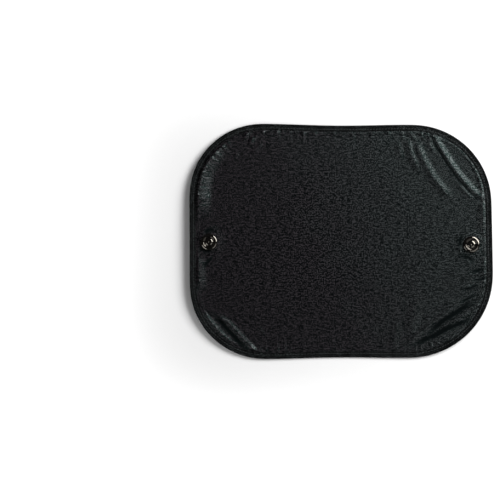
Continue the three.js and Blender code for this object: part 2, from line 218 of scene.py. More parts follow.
SADDLE = fit_saddle()
HOOP = hoop_line()
HOOP_IN = inward_normals(HOOP)
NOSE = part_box("edge_binding")[1].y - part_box("hoop_wire")[1].y + WIRE_REACH


def rest_height(x, y):
    """How high the saddle lies."""
    height, end_rise, top_fall, bottom_fall = SADDLE
    return height + end_rise * x * x + np.where(y > 0, top_fall, bottom_fall) * y * y


def cup_place(side):
    """The middle of a packed cup's lip."""
    low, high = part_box(f"{side}_suction_cup")
    return Vector(((low.x + high.x) / 2, (low.y + high.y) / 2, low.z))


CUPS = {side: cup_place(side) for side in ("left", "right")}
EYELET_LEVEL = sum(corner.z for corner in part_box("left_eyelet")) / 2


# Folds in the cloth, in millimetres from the middle of the shade. Each has points along its crest, its width
# on the side towards the rim and on the side towards the middle, its height, and how flat its two faces are,
# from 0 for a round swell to 1 for a ridge.
FOLDS = [
    # top right corner
    ([(131, 167), (145, 142), (159, 119), (176, 95), (193, 76), (212, 61)], 8.0, 3.6, 2.3, 1.0),
    ([(108, 156), (121, 122), (135, 96), (156, 70), (168, 60)], 9.0, 8.0, 1.6, 0.6),
    ([(97, 158), (103, 133), (116, 103)], 8.0, 9.0, 1.3, 0.3),
    ([(113, 170), (124, 150)], 3.8, 3.6, 1.0, 0.8),
    ([(123, 170), (135, 146)], 3.8, 3.6, 1.1, 0.8),
    ([(98, 170), (110, 149)], 4.0, 4.4, 0.9, 0.6),
    ([(127, 152), (139, 131)], 3.4, 4.0, 0.7, 0.8),
    ([(88, 169), (94, 146)], 3.6, 4.0, 0.6, 0.6),
    ([(83, 152), (91, 116)], 6.0, 7.0, 0.5, 0.3),
    ([(172, 88), (196, 60)], 5.0, 6.0, 0.8, 0.4),
    ([(157, 150), (176, 143)], 3.0, 4.0, 0.8, 0.9),
    ([(178, 140), (196, 120), (206, 94), (211, 64)], 4.0, 5.0, 1.0, 0.8),
    # bottom left corner
    ([(-210, -103), (-184, -132), (-165, -153), (-150, -167)], 3.4, 7.0, 2.4, 1.0),
    ([(-188, -109), (-167, -123), (-146, -146), (-122, -171)], 3.4, 7.0, 2.3, 1.0),
    ([(-135, -153), (-126, -168)], 3.4, 3.6, 1.1, 0.9),
    ([(-125, -124), (-114, -140)], 4.0, 4.0, 0.8, 0.5),
    ([(-197, -128), (-180, -146), (-158, -161), (-138, -169)], 3.6, 4.0, 0.8, 0.8),
    # bottom right corner
    ([(127, -152), (152, -136), (176, -114), (210, -86)], 5.0, 4.6, 1.5, 0.8),
    ([(106, -159), (140, -140), (170, -125), (203, -110)], 4.6, 4.4, 1.5, 0.9),
    ([(128, -161), (160, -147), (184, -136)], 4.0, 3.6, 1.4, 0.9),
    ([(146, -162), (168, -153), (194, -133)], 4.4, 3.6, 1.4, 0.9),
    ([(100, -150), (130, -125), (160, -101), (198, -82)], 4.6, 5.6, 1.3, 0.8),
    ([(122, -120), (150, -99), (176, -86)], 3.6, 4.6, 0.8, 0.7),
    ([(188, -104), (214, -89)], 3.4, 3.4, 1.3, 0.9),
    ([(184, -112), (209, -100)], 3.4, 3.4, 1.3, 0.9),
    ([(172, -72), (217, -62)], 4.0, 4.0, 1.2, 0.8),
    ([(184, -88), (216, -77)], 3.4, 4.0, 1.1, 0.8),
    ([(187, -67), (193, -70)], 3.0, 3.4, 1.2, 0.9),
    ([(112, -78), (102, -156)], 12.0, 12.0, 0.9, 0.1),
    ([(84, -110), (76, -165)], 10.0, 10.0, 0.7, 0.1),
    # top left corner
    (
        [(-214, 20), (-214, 55), (-213, 82), (-209, 104), (-201, 121), (-189, 139), (-168, 158)],
        5.0, 24.0, 5.0, 0.0,
    ),
    ([(-186, 138), (-200, 119), (-211, 88)], 3.6, 4.6, 0.9, 0.8),
    ([(-148, 149), (-133, 165)], 3.8, 4.0, 1.1, 0.9),
    ([(-137, 143), (-122, 163)], 3.6, 4.0, 0.9, 0.8),
    ([(-125, 157), (-110, 171)], 3.6, 3.8, 0.9, 0.8),
    ([(-99, 159), (-92, 172)], 3.4, 3.6, 0.8, 0.8),
    ([(-163, 120), (-152, 132)], 3.4, 4.0, 0.8, 0.8),
    ([(-133, 132), (-117, 146)], 3.6, 4.4, 0.8, 0.6),
    # beside the hem at the left and right ends
    ([(-211, 56), (-194, 70)], 3.6, 3.6, 0.9, 0.6),
    ([(-213, -14), (-213, -50), (-211, -80)], 5.0, 15.0, 2.6, 0.0),
    ([(209, 62), (211, 36), (211, 10)], 7.0, 9.0, 1.5, 0.5),
    ([(211, -22), (212, -50), (214, -74)], 7.0, 9.0, 1.3, 0.5),
    # short puckers along the top hem
    ([(-142, 155), (-138, 169)], 2.6, 3.2, 1.7, 1.0),
    ([(-135, 146), (-131, 157)], 2.6, 3.2, 1.5, 1.0),
    ([(-117, 159), (-113, 171)], 2.6, 3.2, 1.7, 1.0),
    ([(-96, 160), (-94, 171)], 2.6, 3.0, 1.5, 1.0),
    ([(-77, 161), (-75, 171)], 2.6, 3.0, 1.4, 1.0),
    ([(-57, 155), (-56, 169)], 4.0, 4.4, 1.9, 1.0),
    ([(-40, 157), (-40, 168)], 4.0, 4.4, 1.6, 1.0),
    ([(-12, 159), (-12, 169)], 4.0, 4.4, 1.4, 1.0),
    ([(24, 160), (22, 170)], 4.4, 4.0, 1.4, 1.0),
    ([(49, 158), (46, 169)], 4.4, 4.0, 1.5, 1.0),
    ([(71, 157), (67, 169)], 4.4, 4.0, 1.5, 1.0),
    # round the left cup's head
    ([(-207, 8), (-204, 15), (-195, 20.5), (-182, 18)], 3.8, 4.2, 1.2, 0.7),
    ([(-209, -39), (-198, -28), (-190, -16)], 3.6, 4.0, 0.9, 0.8),
    ([(-203, -40), (-188, -29), (-181, -19)], 3.6, 4.0, 0.8, 0.8),
    # round the right cup's head
    ([(180, 8), (175, -8), (177, -20), (190, -30), (200, -28)], 4.0, 5.0, 1.2, 0.6),
    ([(203, 5), (216, -1)], 3.2, 3.4, 0.7, 0.7),
    ([(201, -14), (217, -23)], 3.6, 3.6, 0.8, 0.7),
    ([(199, 20), (217, 26)], 4.0, 4.0, 0.8, 0.5),
    ([(190, -41), (216, -33)], 3.2, 3.2, 1.0, 0.9),
    ([(190, -52), (216, -47)], 3.2, 3.2, 0.9, 0.9),
]


# Creases, in millimetres too, where the cloth is pinched into a groove, and where its material is painted
# darker as shade: points along the groove, its width on each side, and its depth.
CREASES = [
    # bottom right corner
    ([(122, -144), (150, -119), (182, -98), (207, -85)], 5.4, 1.1),
    ([(101, -157), (133, -142), (165, -125), (180, -119)], 5.0, 1.1),
    ([(122, -151), (154, -132), (182, -119), (199, -110)], 4.4, 1.1),
    ([(144, -157), (169, -148), (186, -136), (196, -127)], 5.4, 1.1),
    ([(180, -73), (191, -69), (205, -64)], 2.6, 0.8),
    ([(176, -91), (200, -79)], 2.6, 0.7),
    # top right corner
    ([(129, 163), (143, 139), (157, 116), (174, 92), (191, 73), (208, 58)], 2.4, 0.2),
    ([(156, 151), (175, 143), (190, 128)], 2.2, 0.5),
    # bottom left corner
    ([(-194, -103), (-171, -128), (-150, -151), (-136, -167)], 5.0, 0.2),
    ([(-209, -116), (-190, -138), (-168, -158)], 3.6, 0.2),
    # round the right cup's head
    ([(173, -19), (184, -23), (199, -30)], 4.4, 0.9),
    ([(205, -16), (215, -19)], 2.4, 0.8),
    ([(190, -47), (215, -40)], 3.6, 0.8),
    ([(176, -9), (176, 2), (181, 11)], 3.6, 0.6),
    ([(194, -58), (215, -55)], 2.4, 0.6),
    # round the left cup's head
    ([(-213, -11), (-205, -13), (-197, -14.5), (-188, -12)], 3.6, 0.7),
    ([(-205, 11), (-197, 17.5), (-186, 17)], 3.6, 0.7),
    ([(-206, -39), (-190, -22)], 3.6, 0.7),
]


def off_line(x, y, points):
    """How far each place lies from a line, on which side of it (more than 0 towards the rim), how far it is
    along the line from the nearer end, and how long the line is."""
    line = np.array(points, float) * MM
    steps = np.diff(line, axis=0)
    lengths = np.linalg.norm(steps, axis=1)
    starts = np.r_[0, np.cumsum(lengths)]
    nearest = np.full(x.shape, np.inf)
    side = np.zeros(x.shape)
    along = np.zeros(x.shape)
    for a, step, length, start in zip(line, steps, lengths, starts):
        t = np.clip(((x - a[0]) * step[0] + (y - a[1]) * step[1]) / length**2, 0, 1)
        dx = x - a[0] - t * step[0]
        dy = y - a[1] - t * step[1]
        away = np.hypot(dx, dy)
        closer = away < nearest
        nearest = np.where(closer, away, nearest)
        along = np.where(closer, start + t * length, along)
        side = np.where(closer, dx * x + dy * y, side)
    return nearest, side, np.minimum(along, starts[-1] - along), starts[-1]


def fold_heights(x, y, points, rimward, inward, rise, flatness):
    """What one fold adds to the cloth's height at each place."""
    nearest, side, from_end, length = off_line(x, y, points)
    end_fade = min(FOLD_END + SOFT_END * (1 - flatness), 0.3 * length)
    taper = smooth(from_end / end_fade + 0.1 * flatness)
    width = np.where(side > 0, rimward, inward) * MM
    slope = np.clip(1 - nearest / width, 0, 1)
    return rise * MM * taper * (flatness * slope + (1 - flatness) * smooth(slope))


def crease_shares(x, y, points, width):
    """How much each place is creased by one groove, from nothing to all."""
    nearest, _, from_end, length = off_line(x, y, points)
    return smooth(from_end / (0.3 * length) + 0.1) * smooth(1.5 - 1.5 * nearest / (width * MM))


def inset_from_rim(x, y):
    """How far in from the outline each place lies (less than 0 outside it), and how far along it."""
    inset = np.empty(x.shape)
    along = np.empty(x.shape)
    for rows in np.array_split(np.arange(len(x)), 1 + len(x) // 2000):
        dx = x[rows, None] - HOOP[None, :, 0]
        dy = y[rows, None] - HOOP[None, :, 1]
        near = np.argmin(dx * dx + dy * dy, axis=1)
        picked = np.arange(len(rows))
        inset[rows] = dx[picked, near] * HOOP_IN[near, 0] + dy[picked, near] * HOOP_IN[near, 1]
        tangent = dy[picked, near] * HOOP_IN[near, 0] - dx[picked, near] * HOOP_IN[near, 1]
        along[rows] = near * PATH_STEP - tangent
    return inset + NOSE, along


def ripple(x, y):
    """Slight unevenness of the stretched cloth."""
    turns_x_y_start = [
        (31, 17, 0.4), (-13, 41, 1.9), (47, -29, 4.1), (71, 53, 2.2), (-61, 83, 0.9), (97, -11, 5.3),
    ]
    waves = [np.sin(a * x + b * y + c) / (1 + 0.02 * math.hypot(a, b)) for a, b, c in turns_x_y_start]
    return sum(waves) / 3


def gathers(inset, along):
    """Small puckers that the seam draws into the cloth, square to the rim and gone a little way in."""
    reach = inset - BINDING_WIDTH
    fade = np.exp(-np.maximum(reach, 0) / GATHER_REACH)
    swell = 0.4 + 0.6 * np.sin(along * 41 + 1.3) * np.sin(along * 17 + 0.4)
    slant = reach * 60
    length_start_share = [(9.3, 0.0, 1.0), (6.1, 1.7, 0.7), (13.7, 4.0, 0.9), (4.4, 2.6, 0.35)]
    waves = [c * np.sin(2 * math.pi * along / (a * MM) + b + slant) for a, b, c in length_start_share]
    return GATHER * fade * swell * sum(waves)


def cloth_height(x, y):
    """The height of the stretched cloth, with its folds, held level round each cup's neck."""
    inset, along = inset_from_rim(x, y)
    open_share = smooth((inset - BINDING_WIDTH) / FOLD_FADE)
    extra = RIPPLE * ripple(x, y) + gathers(inset, along)
    for fold in FOLDS:
        extra = extra + fold_heights(x, y, *fold)
    for points, width, depth in CREASES:
        extra = extra - depth * MM * crease_shares(x, y, points, width)
    beside = (inset - BINDING_WIDTH) / HEM_ROLL_WIDTH
    roll = HEM_ROLL * smooth(beside) * smooth(2 - beside)
    height = rest_height(x, y) + open_share * extra + roll
    for cup in CUPS.values():
        away = np.hypot(x - cup.x, y - cup.y) - LEVEL_RADIUS
        share = np.maximum(smooth(away / TENT_SPREAD), 1 - open_share)
        held = EYELET_LEVEL + (height - EYELET_LEVEL) * share
        off_neck = smooth(away / (0.25 * TENT_SPREAD))
        pucker = open_share * np.minimum(extra, TENT_PUCKER) * off_neck * (1 - share)
        height = held + pucker
    return height


def mesh_object(name, points, faces):
    """A new piece from rows of points and of their numbers."""
    mesh = bpy.data.meshes.new(name)
    mesh.from_pydata([tuple(p) for p in points], [], [tuple(int(i) for i in f) for f in faces])
    mesh.update()
    piece = bpy.data.objects.new(name, mesh)
    bpy.context.scene.collection.objects.link(piece)
    return piece


def select_only(piece):
    bpy.ops.object.select_all(action="DESELECT")
    piece.select_set(True)
    bpy.context.view_layer.objects.active = piece


def shade_smooth(piece, angle):
    select_only(piece)
    bpy.ops.object.shade_smooth_by_angle(angle=angle)


def store_uv(piece, uv):
    """A UV map from one pair of values for each vertex."""
    layer = piece.data.uv_layers.new(name="weave")
    corners = np.empty(len(piece.data.loops), int)
    piece.data.loops.foreach_get("vertex_index", corners)
    layer.data.foreach_set("uv", np.asarray(uv)[corners].ravel())


def graded(low, high, middle):
    """Places from low to high, close together except in the middle, where the cloth lies flatter."""
    ends = (-middle, middle)
    outer = [np.arange(a, b, FINE_STEP) for a, b in ((low, ends[0]), (ends[1], high))]
    return np.r_[outer[0], np.arange(ends[0], ends[1], COARSE_STEP), outer[1], high]


def make_cloth():
    """One stretched panel, with its edge under the binding and a hole for each cup's neck."""
    (x0, y0, _), (x1, y1, _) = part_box("mesh_cloth")
    across, up = graded(x0, x1, COARSE_X), graded(y0, y1, COARSE_Y)
    columns, rows = len(across), len(up)
    x, y = (a.ravel() for a in np.meshgrid(across, up))
    inset, _ = inset_from_rim(x, y)
    off_neck = np.min([np.hypot(x - c.x, y - c.y) for c in CUPS.values()], axis=0)
    keep = (inset > CLOTH_EDGE) & (off_neck > NECK_HOLE)
    z = np.zeros_like(x)
    z[keep] = cloth_height(x[keep], y[keep])

    number = np.full(len(x), -1)
    number[keep] = np.arange(keep.sum())
    corner = np.arange(rows * columns).reshape(rows, columns)
    cells = np.stack([corner[:-1, :-1], corner[:-1, 1:], corner[1:, 1:], corner[1:, :-1]], axis=-1)
    cells = number[cells.reshape(-1, 4)]
    cells = cells[(cells >= 0).all(axis=1)]
    used = np.unique(cells)
    renumber = np.full(keep.sum(), -1)
    renumber[used] = np.arange(len(used))
    points = np.stack([x[keep], y[keep], z[keep]], axis=1)[used]

    cloth = mesh_object("sheer_cloth", points, renumber[cells])
    store_uv(cloth, points[:, :2])
    # The creases' shares go to the material, which paints shade into them as well as making them rougher.
    creased = [crease_shares(*points[:, :2].T, line, width) for line, width, _ in CREASES]
    layer = cloth.data.attributes.new("crease_and_painted_shade", "FLOAT", "POINT")
    layer.data.foreach_set("value", np.max(creased, axis=0))
    wall = cloth.modifiers.new("wall", "SOLIDIFY")
    wall.thickness = 2 * CLOTH_HALF
    wall.offset = 0
    select_only(cloth)
    bpy.ops.object.modifier_apply(modifier=wall.name)
    shade_smooth(cloth, CLOTH_SMOOTH)
    return cloth


def lap_share():
    """Which steps of the hoop's line lie on the lap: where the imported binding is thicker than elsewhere."""
    points = node_points("edge_binding")
    above = points[:, 2] - rest_height(points[:, 0], points[:, 1])
    inset, _ = inset_from_rim(points[:, 0], points[:, 1])
    thick = points[(inset > 2 * NOSE) & (above > SLOT_HALF + TAPE + 0.6 * LAP_THICKNESS)][:, :2]
    low, high = thick.min(axis=0), thick.max(axis=0)
    inside = (HOOP > low - PATH_STEP).all(axis=1) & (HOOP < high + PATH_STEP).all(axis=1)
    return inside.astype(float)


LAP = lap_share()


def binding_section():
    """The folded tape's section as inset and height: from the inner edge of the front flap round the nose to
    the inner edge of the back flap, and back along the inside."""
    channel = NOSE - TAPE
    flap = SLOT_HALF + TAPE
    flat = np.linspace(BINDING_WIDTH - 0.5 * MM, 1.25 * NOSE + 1.2 * MM, FLAP_POINTS)
    front = [
        (BINDING_WIDTH, SLOT_HALF + 0.5 * TAPE),
        (BINDING_WIDTH - EDGE_BEVEL[0], flap - EDGE_BEVEL[1]),
        *((inset, flap) for inset in flat),
    ]
    back = [(inset, -height) for inset, height in reversed(front)]
    mouth = math.asin(0.98 * flap / NOSE)
    angles = np.linspace(mouth, 2 * math.pi - mouth, 2 * NOSE_POINTS)
    nose = [(NOSE + NOSE * math.cos(a), NOSE * math.sin(a)) for a in angles]
    slot = math.asin(SLOT_HALF / channel)
    angles = np.linspace(slot, 2 * math.pi - slot, NOSE_POINTS)
    inside = [(NOSE + channel * math.cos(a), channel * math.sin(a)) for a in reversed(angles)]
    return np.array([
        *front, *nose, *back, (BINDING_WIDTH, -SLOT_HALF), *inside, (BINDING_WIDTH, SLOT_HALF),
    ])


def make_binding():
    """The twill tape, swept round the hoop, pressed in along the seam and puckered between the stitches."""
    section = binding_section()
    steps = len(HOOP)
    turns = 2 * math.pi * np.arange(steps) * PATH_STEP
    wave = np.sin(turns / PUCKER_SHORT) + 0.6 * np.sin(turns / PUCKER_LONG + 1)
    wander = EDGE_WANDER * np.sin(turns / EDGE_WANDER_LENGTH)
    lap = LAP_THICKNESS * smooth(np.convolve(np.r_[LAP, LAP[:1]], [0.5, 0.5])[:steps])

    inset, height = section.T
    outside = np.abs(height) > SLOT_HALF + 0.4 * TAPE
    on_flap = outside & (inset > 2 * NOSE)
    past_seam = on_flap & (inset > SEAM_INSET)
    at_edge = inset > BINDING_WIDTH - MM
    seam = np.exp(-(((inset - SEAM_INSET) / SEAM_DIP_WIDTH) ** 2)) * on_flap
    side = np.sign(height)
    inset = inset[None, :] + wander[:, None] * at_edge[None, :]
    x = HOOP[:, :1] + HOOP_IN[:, :1] * (inset - NOSE)
    y = HOOP[:, 1:] + HOOP_IN[:, 1:] * (inset - NOSE)
    z = (height - side * SEAM_DIP * seam)[None, :]
    z = z + side * outside * (lap[:, None] + PUCKER * wave[:, None] * past_seam)
    z = z + rest_height(x, y)
    points = np.stack([x, y, z], axis=-1).reshape(-1, 3)

    around = len(section)
    i, j = (a.ravel() for a in np.meshgrid(np.arange(steps), np.arange(around), indexing="ij"))
    ahead = (i + 1) % steps
    beyond = (j + 1) % around
    corners = [i * around + j, i * around + beyond, ahead * around + beyond, ahead * around + j]
    binding = mesh_object("twill_binding", points, np.stack(corners, axis=1))

    across = np.r_[0, np.cumsum(np.hypot(*np.diff(section, axis=0).T))]
    near = across[j]
    far = across[beyond] + (beyond == 0) * across[-1]
    u = np.stack([i, i, i + 1, i + 1], axis=1) * PATH_STEP
    v = np.stack([near, far, far, near], axis=1)
    layer = binding.data.uv_layers.new(name="weave")
    layer.data.foreach_set("uv", np.stack([u, v], axis=-1).ravel())
    shade_smooth(binding, BINDING_SMOOTH)
    return binding


def stitch_shape():
    """One stitch that lies along X: a plump thread whose ends dive into the tape."""
    bpy.ops.mesh.primitive_uv_sphere_add(segments=8, ring_count=7, radius=1)
    stitch = bpy.context.object
    points = np.array([v.co[:] for v in stitch.data.vertices])
    along = points[:, 2]
    plump = THREAD_RADIUS * (0.75 + 0.25 * np.cos(math.pi * along))
    shape = np.stack([
        along * STITCH_LENGTH / 2,
        points[:, 0] * plump,
        points[:, 1] * plump + STITCH_RISE * (1 - 2.2 * along**4),
    ], axis=1)
    faces = [tuple(f.vertices) for f in stitch.data.polygons]
    bpy.data.objects.remove(stitch)
    return shape, faces


def make_stitches(name, side):
    """The row of stitches on the front of the binding (side 1) or on its back (side -1)."""
    shape, faces = stitch_shape()
    line = resample(HOOP + HOOP_IN * (SEAM_INSET - NOSE), STITCH_PITCH)
    ahead = np.roll(line, -1, axis=0) - np.roll(line, 1, axis=0)
    ahead /= np.linalg.norm(ahead, axis=1, keepdims=True)
    random = np.random.default_rng(STITCH_SEED + side)
    surface = SLOT_HALF + TAPE - SEAM_DIP
    points, all_faces = [], []
    for place, way in zip(line, ahead):
        lean = math.radians(STITCH_LEAN + random.normal(0, STITCH_LEAN_SPREAD)) * side
        way = np.array([way[0] - lean * way[1], way[1] + lean * way[0]])
        aside = np.array([-way[1], way[0]])
        near = np.argmin(np.linalg.norm(HOOP - place, axis=1))
        x = place[0] + shape[:, 0] * way[0] + shape[:, 1] * aside[0]
        y = place[1] + shape[:, 0] * way[1] + shape[:, 1] * aside[1]
        z = rest_height(x, y) + side * (surface + LAP_THICKNESS * LAP[near] + shape[:, 2])
        first = len(points) * len(shape)
        points.append(np.stack([x, y, z], axis=1))
        all_faces += [tuple(first + i for i in (f if side > 0 else f[::-1])) for f in faces]
    stitches = mesh_object(name, np.vstack(points), all_faces)
    select_only(stitches)
    bpy.ops.object.shade_smooth()
    return stitches


def cup_profile():
    """A cup's profile as radius and height, from the top of its hollow to the top of its head."""
    def oval(x, z, wide, high, start, end, count):
        angles = np.radians(np.linspace(start, end, count))
        return [(x + wide * math.cos(a), z + high * math.sin(a)) for a in angles]

    def bend(a, b, c, count):
        return [
            tuple((1 - t) ** 2 * np.array(a) + 2 * t * (1 - t) * np.array(b) + t * t * np.array(c))
            for t in np.linspace(0, 1, count)
        ]

    edge_top = HEAD_BASE + HEAD_EDGE
    hollow = bend((0.4, HOLLOW_TOP), (10.67, HOLLOW_TOP), (19.2, 0.12), 14)
    lip = [(19.5, 0.02), (20.2, 0.0), *oval(LIP_RADIUS, 0.42, LIP_ROUND, LIP_ROUND, -90, 70, 6)]
    bell = bend((20.1, 1.05), (15.0, 6.05), (7.4, 8.9), 12)
    bell_top = oval(6.6, BELL_TOP - BELL_ROUND, BELL_ROUND, BELL_ROUND, 20, 90, 4)
    neck_foot = [(4.3, BELL_TOP), (3.85, BELL_TOP + 0.1), (NECK_RADIUS, BELL_TOP + 0.4)]
    neck_top = [(NECK_RADIUS, HEAD_BASE - 0.3), (3.9, HEAD_BASE - 0.02), (5.0, HEAD_BASE)]
    head_edge = oval(HEAD_RADIUS - HEAD_EDGE, edge_top, HEAD_EDGE, HEAD_EDGE, -90, 0, 6)
    shoulder = oval(HEAD_RADIUS - SHOULDER_WIDTH, edge_top, SHOULDER_WIDTH, SHOULDER_HEIGHT, 6, 90, 14)
    groove = [(8.2, 2.5), (7.8, 2.15), (7.5, 1.7), (7.2, 1.5), (6.8, 1.42)]
    dome = bend((6.5, 1.46), (5.6, 3.5), (1.7, 3.6), 12)
    dimple = [(1.3, 3.55), (1.05, 3.3), (0.8, 3.14), (0.3, 3.1)]
    middle = [(radius, HEAD_BASE + rise) for radius, rise in (*groove, *dome, *dimple)]
    return [*hollow, *lip, *bell, *bell_top, *neck_foot, *neck_top, *head_edge, *shoulder, *middle]


def make_cup(side):
    """One moulding, turned on its axis ring by ring from the hollow to the head."""
    place = CUPS[side]
    profile = [(radius * MM, height * MM) for radius, height in cup_profile()]
    radius, height = profile[0]
    start = (place.x, place.y, place.z + height)
    bpy.ops.mesh.primitive_circle_add(vertices=TURN_STEPS, radius=radius, fill_type="NGON", location=start)
    cup = bpy.context.object
    cup.name = f"{side}_cup"
    bpy.ops.object.transform_apply(location=True, rotation=True, scale=True)
    bpy.ops.object.mode_set(mode="EDIT")
    bpy.ops.mesh.select_all(action="SELECT")
    for (r0, z0), (r1, z1) in zip(profile, profile[1:]):
        bpy.ops.mesh.extrude_region_move(TRANSFORM_OT_translate={"value": (0, 0, z1 - z0)})
        centre = (place.x, place.y, place.z + z1)
        bpy.ops.transform.resize(value=(r1 / r0, r1 / r0, 1), center_override=centre)
    bpy.ops.mesh.select_all(action="SELECT")
    bpy.ops.mesh.normals_make_consistent(inside=False)
    bpy.ops.object.mode_set(mode="OBJECT")
    shade_smooth(cup, CUP_SMOOTH)
    return cup


class Value:
    """A number in a shader, on which Python's operators add Math nodes."""

    def __init__(self, shader, socket):
        self.shader = shader
        self.socket = socket

    def maths(self, operation, other=None, swap=False):
        inputs = [self] if other is None else [other, self] if swap else [self, other]
        return self.shader.node("ShaderNodeMath", {"operation": operation}, dict(enumerate(inputs)))

    def __add__(self, other):
        return self.maths("ADD", other)

    def __radd__(self, other):
        return self.maths("ADD", other, swap=True)

    def __rsub__(self, other):
        return self.maths("SUBTRACT", other, swap=True)

    def __mul__(self, other):
        return self.maths("MULTIPLY", other)

    def __rmul__(self, other):
        return self.maths("MULTIPLY", other, swap=True)


class Shader:
    """A material under construction."""

    def __init__(self, name):
        self.material = bpy.data.materials.new(name)
        self.material.use_nodes = True
        self.tree = self.material.node_tree
        self.tree.nodes.clear()

    def node(self, kind, settings=None, inputs=None, output=0):
        """Adds a node with its settings and its inputs, which are linked or set, and gives one output."""
        made = self.tree.nodes.new(kind)
        for key, setting in (settings or {}).items():
            setattr(made, key, setting)
        for key, value in (inputs or {}).items():
            socket = made.inputs[key]
            if isinstance(value, Value):
                self.tree.links.new(value.socket, socket)
            else:
                socket.default_value = value
        return Value(self, made.outputs[output]) if made.outputs else None

    def place(self):
        return self.node("ShaderNodeTexCoord", output="Object")

    def weave_place(self):
        return self.node("ShaderNodeUVMap", {"uv_map": "weave"})

    def crease_and_painted_shade(self):
        return self.node("ShaderNodeAttribute", {"attribute_name": "crease_and_painted_shade"}, output="Fac")

    def split(self, vector):
        made = self.node("ShaderNodeSeparateXYZ", inputs={0: vector}).socket.node
        return [Value(self, made.outputs[i]) for i in range(3)]

    def stretched(self, place, scale):
        inputs = {"Vector": place, "Scale": [1 / factor for factor in scale]}
        return self.node("ShaderNodeMapping", {"vector_type": "TEXTURE"}, inputs)

    def noise(self, place, size, detail=2.0, roughness=0.5):
        inputs = {"Vector": place, "Scale": 1 / size, "Detail": detail, "Roughness": roughness}
        return self.node("ShaderNodeTexNoise", inputs=inputs)

    def ramp(self, value, low, high):
        return self.node("ShaderNodeMapRange", inputs={0: value, 1: low, 2: high, 3: 0.0, 4: 1.0})

    def blend(self, share, a, b):
        return self.node("ShaderNodeMix", {"data_type": "RGBA"}, {0: share, 6: a, 7: b}, output=2)

    def bump(self, height, distance, strength):
        inputs = {"Height": height, "Distance": distance, "Strength": strength}
        return self.node("ShaderNodeBump", inputs=inputs)

    def finish(self, **sockets):
        """Ends the material with a surface whose sockets are given by name."""
        names = {key: key.replace("_", " ") for key in sockets}
        surface = self.node("ShaderNodeBsdfPrincipled", inputs={names[k]: v for k, v in sockets.items()})
        self.node("ShaderNodeOutputMaterial", inputs={"Surface": surface})
        return self.material


def grey(value, tint=(1.0, 1.0, 1.0)):
    """A level of grey as a colour, which a tint can shift."""
    return (value * tint[0], value * tint[1], value * tint[2], 1.0)


def cloth_material():
    """Sheer plain weave: yarns that cross at right angles, with a small hole between each four. The cloth is
    painted lighter and more teal towards the right and the top as a sheen, and painted darker in its creases
    as shade.
    """
    shader = Shader("sheer_black_cloth")
    place = shader.weave_place()
    x, y, _ = shader.split(place)
    turns = 2 * math.pi / CLOTH_PITCH
    warp = (x * turns).maths("SINE")
    weft = (y * turns).maths("SINE")
    over = warp * weft
    between_yarns = warp.maths("ABSOLUTE").maths("MINIMUM", weft.maths("ABSOLUTE"))
    gap = shader.ramp(between_yarns, 0.86, 0.96)
    slub = shader.noise(shader.stretched(place, (0.25, 1, 1)), 2.0 * MM, 1.0, 0.6)
    grain = shader.noise(place, 1.8 * MM, 0.0)
    speckle = shader.ramp(slub * 0.4 + grain * 0.6, 0.48, 0.59)
    # Painted sheen: the cloth's colour is made lighter and more teal towards the right and a little towards
    # the top, where the right softbox's light falls most.
    drift = shader.noise(place, 50 * MM, 3.0, 0.6)
    tone = shader.ramp(x + y * 0.4 + drift * 0.25, 0.06, 0.28)
    light = shader.blend(tone, grey(0.021, PALE), grey(0.034, COOL))
    # Painted shade: in the creases the cloth's colour and coat are darkened, its gaps close, and it is
    # rougher.
    outside_painted_shade = 1 - shader.crease_and_painted_shade()
    color = shader.blend(speckle * outside_painted_shade, grey(0.0005, MAUVE), light)
    height = over * 0.3 + speckle
    return shader.finish(
        Base_Color=color,
        Roughness=0.38 + shader.crease_and_painted_shade() * 0.5,
        Specular_IOR_Level=0.1,
        Specular_Tint=grey(1.0, TEAL),
        Coat_Weight=speckle * outside_painted_shade,
        Coat_Roughness=0.38,
        Coat_IOR=1.38,
        Alpha=1 - gap * 0.8 * outside_painted_shade,
        Normal=shader.bump(height, 0.1 * MM, 0.4),
    )


def twill_material():
    """Woven tape with slanting twill ribs, and with lighter flecks where it is worn."""
    shader = Shader("black_twill_tape")
    u, v, _ = shader.split(shader.weave_place())
    rib = ((u + v * 0.8) * (2 * math.pi / (1.15 * MM))).maths("SINE")
    pick = (v * (2 * math.pi / (0.55 * MM))).maths("SINE")
    place = shader.place()
    fuzz = shader.ramp(shader.noise(place, 1.5 * MM, 2.0, 0.7), 0.5, 0.64)
    worn = shader.noise(place, 14 * MM, 2.0)
    tone = shader.blend(shader.ramp(rib, -1, 1), grey(0.0002), grey(0.002, COOL))
    color = shader.blend(fuzz * shader.ramp(worn, 0.2, 0.7), tone, grey(0.05, COOL))
    height = rib * 0.5 + pick * 0.2 + fuzz * 0.5
    return shader.finish(
        Base_Color=color,
        Roughness=0.6 + 0.2 * fuzz,
        Specular_IOR_Level=0.03,
        Normal=shader.bump(height, 0.16 * MM, 0.7),
    )


def thread_material():
    """Spun thread, lighter on its twists."""
    shader = Shader("black_sewing_thread")
    place = shader.place()
    twist = shader.noise(place, 0.35 * MM, 1.0)
    return shader.finish(
        Base_Color=shader.blend(twist, grey(0.02), grey(0.09, COOL)),
        Roughness=0.45 + 0.2 * twist,
        Normal=shader.bump(twist, 0.1 * MM, 0.6),
    )


